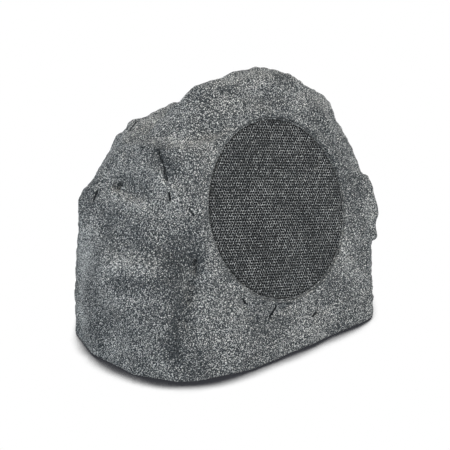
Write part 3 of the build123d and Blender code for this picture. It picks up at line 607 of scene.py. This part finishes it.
sweep = np.linspace(0, 1, ROLL_POINTS)
roll = np.stack([SURROUND_INNER + (SURROUND_OUTER - SURROUND_INNER) * (1 - np.cos(np.pi * sweep)) / 2,
                 SURROUND_DROP + (SURROUND_SEAT - SURROUND_DROP) * ease(sweep)
                 + ROLL_RISE * np.sin(np.pi * sweep)], axis=-1)
lip = flat_edge(SURROUND_OUTER, SURROUND_LIP, SURROUND_SEAT)
surround = turned("surround_roll", strip(np.concatenate([roll, lip]), RUBBER_WALL), DRIVER_COLUMNS)
# Butyl rubber: matt black, slightly bloomed.
rubber = two_tone("butyl_rubber", "#303031", "#232324", grain_mm=6.0, bump_mm=0.05, Roughness=0.7)
wear(surround, rubber)
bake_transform(surround)
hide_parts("surround")


# Cone and voice coil: a cone pressed from paper pulp, glued to a former wound with enamelled copper wire.
# They are the part of the driver that moves.
# Paper pulp: black-dyed, with pressed fibres a few millimetres long.
pulp = two_tone("black_paper_pulp", "#2f2f30", "#1b1b1c", grain_mm=1.6, bump_mm=0.15, Roughness=0.9)
wear(frame["nodes"]["cone"], pulp)
# Enamelled copper wire: amber lacquer over copper, in close turns round the former. A wave texture at the
# scale BAND has one band per metre.
WIRE_MM = 0.6
BAND = np.pi / 10
FACE_LEAN = float(np.arctan2(FACE_OUT[1], FACE_OUT[2]))


def wound_copper(name, lean):
    """Copper wire in close turns: bands of one wire's pitch across an axis that leans from upright."""
    material, tree, surface, place = new_material(name, Metallic=1.0, Roughness=0.3)
    upright = node(tree, "ShaderNodeMapping", Vector=place, Rotation=(lean, 0, 0)).outputs["Vector"]
    turns = node(tree, "ShaderNodeTexWave", {"bands_direction": "Z"}, Vector=upright,
                 Scale=BAND * per_metre(WIRE_MM)).outputs["Fac"]
    tone = node(tree, "ShaderNodeValToRGB", Fac=turns, stops=[(0.1, "#5d2f14"), (0.7, "#c77b45")])
    dress(tree, surface, tone.outputs["Color"], turns, relief_mm=0.2)
    return material


wear(frame["nodes"]["voice_coil"], wound_copper("enamelled_copper_coil", FACE_LEAN))


# Spider: a disc of cotton stiffened with resin and pressed into rings, glued to the coil's former and to a
# shelf of the basket. It keeps the coil in the middle of its gap.
SPIDER_INNER, SPIDER_SLOPE, SPIDER_OUTER = 14.0, 33.0, 40.0
SPIDER_LOW, SPIDER_SEAT, RING_RISE, RINGS, CLOTH_WALL = -32.2, -25.7, 0.9, 3, 0.5
RING_POINTS = 37
sweep = np.linspace(0, 1, RING_POINTS)
rings = np.stack([SPIDER_INNER + (SPIDER_SLOPE - SPIDER_INNER) * sweep,
                  SPIDER_LOW + (SPIDER_SEAT - SPIDER_LOW) * sweep
                  - RING_RISE * np.sin(2 * np.pi * RINGS * sweep) * np.sin(np.pi * sweep)], axis=-1)
shelf = flat_edge(SPIDER_SLOPE, SPIDER_OUTER, SPIDER_SEAT)
spider = turned("spider_disc", strip(np.concatenate([rings, shelf]), CLOTH_WALL), DRIVER_COLUMNS)


def woven(name, thread, gap, pitch_mm, lean, **values):
    """Plain weave in a leaning plane: two sets of thread bands crossed, the higher on top, the gaps dark."""
    material, tree, surface, place = new_material(name, **values)
    level = node(tree, "ShaderNodeMapping", Vector=place, Rotation=(lean, 0, 0)).outputs["Vector"]
    warp, weft = (node(tree, "ShaderNodeTexWave", {"bands_direction": way}, Vector=level,
                       Scale=BAND * per_metre(pitch_mm)).outputs["Fac"] for way in "XY")
    top = node(tree, "ShaderNodeMath", {"operation": "MAXIMUM"}, _0=warp, _1=weft).outputs[0]
    tone = node(tree, "ShaderNodeValToRGB", Fac=top, stops=[(0.3, gap), (0.9, thread)])
    dress(tree, surface, tone.outputs["Color"], top, relief_mm=0.15)
    return material


# Resin-stiffened cotton: amber, with an open weave.
wear(spider, woven("resin_stiffened_cotton", "#b98d4a", "#5f4017", pitch_mm=0.8, lean=FACE_LEAN,
                   Roughness=0.6))
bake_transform(spider)
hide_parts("spider")


# Motor: a ring of ferrite glued between a front plate and a yoke of turned, zinc-plated steel.
# Ferrite: charcoal and ground, with fine sintered grains.
ferrite = two_tone("sintered_ferrite", "#3b3c3f", "#2a2b2d", grain_mm=0.9, bump_mm=0.1, Roughness=0.6)
wear(frame["nodes"]["front_plate"], zinc_steel)
wear(frame["nodes"]["magnet"], ferrite)
wear(frame["nodes"]["yoke"], zinc_steel)


# Tweeter: a small dome driver in a moulded cup, carried in front of the cone by a post from the yoke.
# Moulded ABS: black with a fine spark-eroded grain. Coated silk: soft black with a slight sheen.
black_abs = two_tone("moulded_black_abs", "#29292b", "#1e1e20", grain_mm=0.8, bump_mm=0.06, Roughness=0.55)
silk = two_tone("coated_silk", "#3a3a3d", "#2a2a2c", grain_mm=0.7, bump_mm=0.05, Roughness=0.5,
                Sheen_Weight=0.3)
wear(frame["nodes"]["tweeter_post"], black_abs)
wear(frame["nodes"]["tweeter_body"], black_abs)
wear(frame["nodes"]["tweeter_dome"], silk)


# Terminal strip: pressed fibre board riveted to the basket, where the driver's leads are soldered.
# Fibre board: brown, with pressed streaks.
wear(frame["nodes"]["terminal_strip"],
     two_tone("pressed_fibre_board", "#8a5f34", "#6b4522", grain_mm=2.5, bump_mm=0.08, Roughness=0.75))


# Grille cloth: thin black polyester stretched behind the grille against rain and insects, glued to its
# back. It is a round sheet that lies flat but for a trace of slack.
CLOTH_MARGIN, CLOTH_STEPS, CLOTH_GAP = 1.4, 60, 0.3
SLACK_HIGH, SLACK_WAVE, SLACK_SEED = 0.08, 14, 80
SHEET_STEEL = 1.2
CLOTH_RADIUS = GRILLE_RADIUS - CLOTH_MARGIN
span = np.linspace(-1, 1, CLOTH_STEPS)
wide, tall = np.meshgrid(span, span)
round_x = CLOTH_RADIUS * wide * np.sqrt(1 - tall ** 2 / 2)
round_y = CLOTH_RADIUS * tall * np.sqrt(1 - wide ** 2 / 2)
slack = SLACK_HIGH * rumple(np.stack([round_x, round_y, 0 * wide], axis=-1), SLACK_WAVE, SLACK_SEED)
cloth_points = (FACE_MIDDLE + round_x[..., None] * FACE_RIGHT + round_y[..., None] * FACE_UP
                + (slack - GRILLE_SINK - SHEET_STEEL - CLOTH_GAP)[..., None] * FACE_OUT)


def sheet_mesh(name, points):
    """Smooth open sheet from a grid of points: each cell is a quad that faces out of the grille."""
    index = np.arange(points.shape[0] * points.shape[1]).reshape(points.shape[:2])
    quads = np.stack([index[:-1, :-1], index[:-1, 1:], index[1:, 1:], index[1:, :-1]], axis=-1)
    return new_piece(name, points, quads.reshape(-1, 4), smooth=True)


grille_cloth = sheet_mesh("grille_cloth_sheet", cloth_points)
# Woven polyester: dull black, its threads drawn a little coarser than real so that they show.
wear(grille_cloth, woven("black_woven_polyester", "#1c1c1d", "#060606", pitch_mm=0.9, lean=FACE_LEAN,
                         Roughness=0.95))
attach(grille_cloth, "housing")
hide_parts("grille_cloth")


# Grille: a disc of perforated steel sheet with its edge folded back, sprayed with the rock's own paint and
# pressed into the recess. Each hole has a six-sided cell of the sheet round it.
# The third value sets how dark the painted shade on the holes' walls grows.
HOLE_PITCH, HOLE_WIDTH, HOLE_WALL_SHADE = 3.25, 2.7, 4.0
HOLE_ROWS, HOLE_MARGIN, SHEET_MARGIN = 45, 2.6, 0.9
ROW_TURN = np.radians(-14)
RIM_LAP, RIM_END, RIM_COLUMNS = 2.0, 0.2, 180
# The rim's fold: how far in from the edge and how far below the sheet's front.
RIM_FOLD = [(RIM_LAP, 0.15), (0.9, 0.1), (0.4, 0.2), (0.1, 0.5), (0.0, 1.0)]
rows = np.arange(-HOLE_ROWS, HOLE_ROWS + 1)
line_x, line_y = np.meshgrid(rows.astype(float), rows * np.sqrt(3) / 2)
line_x = HOLE_PITCH * (line_x + (rows % 2)[:, None] / 2).ravel()
line_y = HOLE_PITCH * line_y.ravel()
whole = np.hypot(line_x, line_y) < GRILLE_RADIUS - HOLE_MARGIN
row_axes = np.array([[np.cos(ROW_TURN), np.sin(ROW_TURN)], [-np.sin(ROW_TURN), np.cos(ROW_TURN)]])
middles = np.stack([line_x, line_y], axis=-1)[whole] @ row_axes
corner = np.radians(30 + 60 * np.arange(6)) + ROW_TURN
ray = np.stack([np.cos(corner), np.sin(corner)], axis=-1)
cell = middles[:, None] + ray * HOLE_PITCH / np.sqrt(3)
hole = middles[:, None] + ray * HOLE_WIDTH / 2
far = np.hypot(cell[..., 0], cell[..., 1])
cell *= np.minimum(1, (GRILLE_RADIUS - SHEET_MARGIN) / far)[..., None]


def lifted(flat, height):
    """Points of the face's plane from (right, up) values, at a height over it."""
    return FACE_MIDDLE + flat[..., :1] * FACE_RIGHT + flat[..., 1:] * FACE_UP + height * FACE_OUT


def perforated(name, cell, hole, front, back):
    """Sheet of six-sided cells, each with a six-sided hole: front ring, hole wall and back ring, with the
    corners that neighbours share made one. Painted shade grows on the hole walls from the front to the back."""
    loops = np.stack([lifted(cell, front), lifted(hole, front), lifted(hole, back), lifted(cell, back)],
                     axis=1)
    index = np.arange(loops.size // 3).reshape(loops.shape[:3])
    ahead = np.roll(index, -1, axis=2)
    quads = np.stack([index[:, :-1], ahead[:, :-1], ahead[:, 1:], index[:, 1:]], axis=-1).reshape(-1, 4)
    points, shared = np.unique(np.round(loops.reshape(-1, 3), 3), axis=0, return_inverse=True)
    piece = new_piece(name, points, shared.ravel()[quads])
    # Painted shade on the holes' walls, darker towards the back.
    keep(piece, "shading_and_dirt", HOLE_WALL_SHADE * (front - (points - FACE_MIDDLE) @ FACE_OUT) / (front - back))
    return piece


grille_sheet = perforated("grille_sheet", cell, hole, -GRILLE_SINK, -GRILLE_SINK - SHEET_STEEL)
# The rim's profile rounds the sheet's edge, runs down outside to its end and comes back up inside.
top = RECESS_DEPTH - GRILLE_SINK
grille_rim = turned("grille_rim", [
    *((GRILLE_RADIUS - inset, top - drop) for inset, drop in RIM_FOLD),
    (GRILLE_RADIUS, RIM_END),
    (GRILLE_RADIUS - SHEET_STEEL, RIM_END),
    (GRILLE_RADIUS - SHEET_STEEL, top - SHEET_STEEL),
    (GRILLE_RADIUS - RIM_LAP, top - SHEET_STEEL),
], RIM_COLUMNS)
# Stone-flecked enamel: the rock's flecks sprayed on steel from the front. The holes' walls are darkened with
# painted shade.
enamel = stone_flecked("stone_flecked_enamel", "#121314", "#4c4f50", "#dcddd9", relief_mm=0.2,
                       strength=0.4, Roughness=0.7, Specular_IOR_Level=0.35)
for piece in (grille_sheet, grille_rim):
    wear(piece, enamel)
    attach(piece, "housing")
    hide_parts("grille")


# Base: a plate of moulded ABS that closes the rock from below on a foam gasket, held by zinc-plated screws
# and standing on four rubber feet.
wear(frame["nodes"]["base_plate"], black_abs)
wear(frame["nodes"]["base_gasket"], foam)
wear(frame["nodes"]["base_screws"], zinc_steel)
wear(frame["nodes"]["rubber_feet"], rubber)


# Cable gland: body, cap and nut of black nylon screwed through the pocket's wall, with a rubber seal.
# Black nylon: waxy and a little glossier than the plate.
black_nylon = two_tone("moulded_black_nylon", "#2c2c2e", "#222224", grain_mm=3.0, bump_mm=0.04,
                       Roughness=0.4)
for part in ("gland_body", "gland_cap", "gland_nut"):
    wear(frame["nodes"][part], black_nylon)
wear(frame["nodes"]["gland_seal"], rubber)


# Crossover: a small circuit board on nylon posts stuck to the base plate, with an air-core coil, a film
# capacitor, a resistor and a terminal block soldered to it.
# Solder mask: green lacquer over copper tracks about 3 mm wide.
TRACK_MM = 3.0
mask, tree, surface, place = new_material("green_solder_mask", Roughness=0.3, Coat_Weight=0.3)
tracks = node(tree, "ShaderNodeTexVoronoi", {"distance": "CHEBYCHEV"}, Vector=place,
              Scale=per_metre(4 * TRACK_MM))
tone = node(tree, "ShaderNodeValToRGB", Fac=tracks.outputs["Distance"],
            stops=[(0.30, "#2c7a3f"), (0.34, "#1b5a2c")])
dress(tree, surface, tone.outputs["Color"], tone.outputs["Color"], relief_mm=0.1, sunk=True)
wear(frame["nodes"]["crossover_board"], mask)
# Natural nylon: milky. Film case: orange-red dipped epoxy. Ceramic: chalky white.
wear(frame["nodes"]["board_posts"],
     two_tone("natural_nylon", "#dedbd0", "#d2cfc2", grain_mm=3.0, bump_mm=0.03, Roughness=0.45))
wear(frame["nodes"]["inductor"], wound_copper("enamelled_copper_winding", 0.0))
wear(frame["nodes"]["capacitor"],
     two_tone("dipped_epoxy", "#b8402a", "#a03420", grain_mm=4.0, bump_mm=0.08, Roughness=0.3))
wear(frame["nodes"]["resistor"],
     two_tone("chalky_ceramic", "#dcdad2", "#c9c6bc", grain_mm=1.2, bump_mm=0.1, Roughness=0.9))
wear(frame["nodes"]["terminal_block"], black_abs)


# Leads: twin wire in vinyl from the terminal block to the two drivers, dressed along the inside.
# Vinyl: red, supple, slightly dusty.
vinyl = two_tone("red_vinyl", "#a01f1c", "#861815", grain_mm=5.0, bump_mm=0.03, Roughness=0.45)
wear(frame["nodes"]["woofer_lead"], vinyl)
wear(frame["nodes"]["tweeter_lead"], vinyl)


# Wadding: a pad of polyester fibre laid against the back wall inside, which damps the air in the rock. It
# follows the wall from one side to the other, with a rounded section and rounded ends.
PAD_LOW, PAD_HIGH, PAD_FRONT, PAD_THICK, PAD_GAP = 84.0, 150.0, 30.0, 15.0, 2.0
PAD_COLUMNS, PAD_LOOP, PAD_LEVELS = 120, 36, 12
PAD_FROM, PAD_TO = 4, 176
PAD_POWER, END_POWER, END_TALL, PAD_FULL = 0.5, 10, 0.6, 0.45
# Tufts: wavelength, height and seed.
TUFTS = [(26, 0.9, 90), (11, 0.5, 91)]
pad_axis = np.array([0.0, PAD_FRONT, 0.0])
swing = np.radians(np.linspace(PAD_FROM, PAD_TO, PAD_COLUMNS))
level = np.stack([np.cos(swing), np.sin(swing), 0 * swing], axis=-1)
heights = np.linspace(PAD_LOW, PAD_HIGH, PAD_LEVELS)
walls = np.stack([last_hit(pad_axis + (0, 0, z), level, rock) for z in heights])
loop = np.linspace(0, 2 * np.pi, PAD_LOOP, endpoint=False)
ends = (1 - np.abs(np.linspace(-1, 1, PAD_COLUMNS)) ** END_POWER) ** 0.5
up = squared(np.sin(loop), PAD_POWER)[:, None]
deep = squared(np.cos(loop), PAD_POWER)[:, None]
pad_z = (PAD_LOW + PAD_HIGH) / 2 + (PAD_HIGH - PAD_LOW) / 2 * up * (END_TALL + (1 - END_TALL) * ends)
row = (pad_z - PAD_LOW) / (PAD_HIGH - PAD_LOW) * (PAD_LEVELS - 1)
under = np.clip(row.astype(int), 0, PAD_LEVELS - 2)
column = np.arange(PAD_COLUMNS)[None]
wall = walls[under, column] * (1 - row + under) + walls[under + 1, column] * (row - under)
depth = SHELL_WALL + PAD_GAP + PAD_THICK / 2 - PAD_THICK * PAD_FULL * deep * ends
pad = pad_axis + level[None] * (wall - depth)[..., None] + np.array([0, 0, 1.0]) * pad_z[..., None]
tufted = sum(height * rumple(pad, wavelength, seed) for wavelength, height, seed in TUFTS)
pad += level[None] * tufted[..., None]
wadding = grid_mesh("wadding_pad", np.transpose(pad, (1, 0, 2)), close_rows=False)
# Polyester fibre: off-white, fuzzy, with loose tufts.
wear(wadding, two_tone("polyester_fibre", "#dcdcd8", "#bdbdb8", grain_mm=3.0, bump_mm=0.8, Roughness=1.0))
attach(wadding, "housing")
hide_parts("wadding")


# Floor and backdrop: pale seamless paper. It shows plain white to the camera, with a painted shadow close to
# the rock's foot on the camera's side, where a view tilted to the rear meets the rock.
FLOOR_HALF, CONTACT_MM, CONTACT_RAYS = 6000.0, 45.0, 32
REARWARD = {"X": 0.58, "Y": 0.61, "Z": 0.54}
floor_corners = FLOOR_HALF * np.array([(-1, -1, 0), (1, -1, 0), (1, 1, 0), (-1, 1, 0)])
floor = new_piece("floor", floor_corners, [(0, 1, 2, 3)])
paper, tree, surface, _ = new_material("seamless_paper", Base_Color=colour("#e8e8e8"), Roughness=0.9)


def seen_directly(tree):
    """Socket that is 1 for rays from the camera, a mirror or glass, and 0 for light on its way."""
    path = node(tree, "ShaderNodeLightPath").outputs
    first = node(tree, "ShaderNodeMath", {"operation": "MAXIMUM"}, _0=path["Is Camera Ray"],
                 _1=path["Is Glossy Ray"])
    return node(tree, "ShaderNodeMath", {"operation": "MAXIMUM"}, _0=first.outputs[0],
                _1=path["Is Transmission Ray"]).outputs[0]


rearward = node(tree, "ShaderNodeCombineXYZ", **REARWARD)
openness = node(tree, "ShaderNodeAmbientOcclusion", {"samples": CONTACT_RAYS}, Distance=CONTACT_MM * MM,
                Normal=rearward.outputs[0])
# Painted shadow: the floor's colour for the camera darkens where the tilted view is closed by the rock.
painted_shadow_tone = node(tree, "ShaderNodeValToRGB", Fac=openness.outputs["AO"],
            stops=[(0.5, "#38393d"), (0.65, "#ffffff")])
glow = node(tree, "ShaderNodeEmission", Color=painted_shadow_tone.outputs["Color"], Strength=1.0)
mixed = node(tree, "ShaderNodeMixShader", _0=seen_directly(tree), _1=surface.outputs[0],
             _2=glow.outputs[0])
tree.links.new(mixed.outputs[0], tree.nodes["Material Output"].inputs["Surface"])
wear(floor, paper)


# Studio light: an even pale dome, which shows plain white to the camera, with a broad soft lamp above and
# a little in front.
DOME_STRENGTH, LAMP_WIDE, LAMP_WATTS = 0.76, 1.6, 12.0
LAMP_PLACE, LAMP_AIM = Vector((0.1, -0.4, 1.6)), Vector((0, 0, 0.1))
scene = bpy.context.scene
scene.world = bpy.data.worlds.new("studio_dome")
scene.world.use_nodes = True
tree = scene.world.node_tree
dome = node(tree, "ShaderNodeBackground", Color=colour("#dae6f4"), Strength=DOME_STRENGTH)
white = node(tree, "ShaderNodeBackground", Color=colour("#ffffff"), Strength=1.0)
mixed = node(tree, "ShaderNodeMixShader", _0=seen_directly(tree), _1=dome.outputs[0], _2=white.outputs[0])
tree.links.new(mixed.outputs[0], tree.nodes["World Output"].inputs["Surface"])

lamp = bpy.data.lights.new("softbox", "AREA")
lamp.shape, lamp.size, lamp.size_y, lamp.energy = "RECTANGLE", LAMP_WIDE, LAMP_WIDE, LAMP_WATTS
lamp.color = colour("#ffeed8")[:3]
softbox = bpy.data.objects.new("softbox", lamp)
softbox.location = LAMP_PLACE
softbox.rotation_euler = (LAMP_AIM - LAMP_PLACE).to_track_quat("-Z", "Y").to_euler()
scene.collection.objects.link(softbox)


# Camera: a long lens, half left of the grille and a little above, as the object was photographed. Its
# place is worked out from a bearing, a rise and a distance from the target.
CAMERA_BEARING, CAMERA_RISE, CAMERA_AWAY, CAMERA_LENS = -43.3, 22.0, 1800.0, 133.9
CAMERA_TARGET = np.array([7.5, -10.0, 97.7])
bearing, rise = np.radians([CAMERA_BEARING, CAMERA_RISE])
away = np.array([np.sin(bearing) * np.cos(rise), -np.cos(bearing) * np.cos(rise), np.sin(rise)])
camera = bpy.data.objects.new("camera", bpy.data.cameras.new("camera"))
camera.data.lens = CAMERA_LENS
camera.location = Vector((CAMERA_TARGET + CAMERA_AWAY * away) * MM)
camera.rotation_euler = Vector(-away).to_track_quat("-Z", "Y").to_euler()
scene.collection.objects.link(camera)
scene.camera = camera
scene.view_settings.view_transform = "Standard"
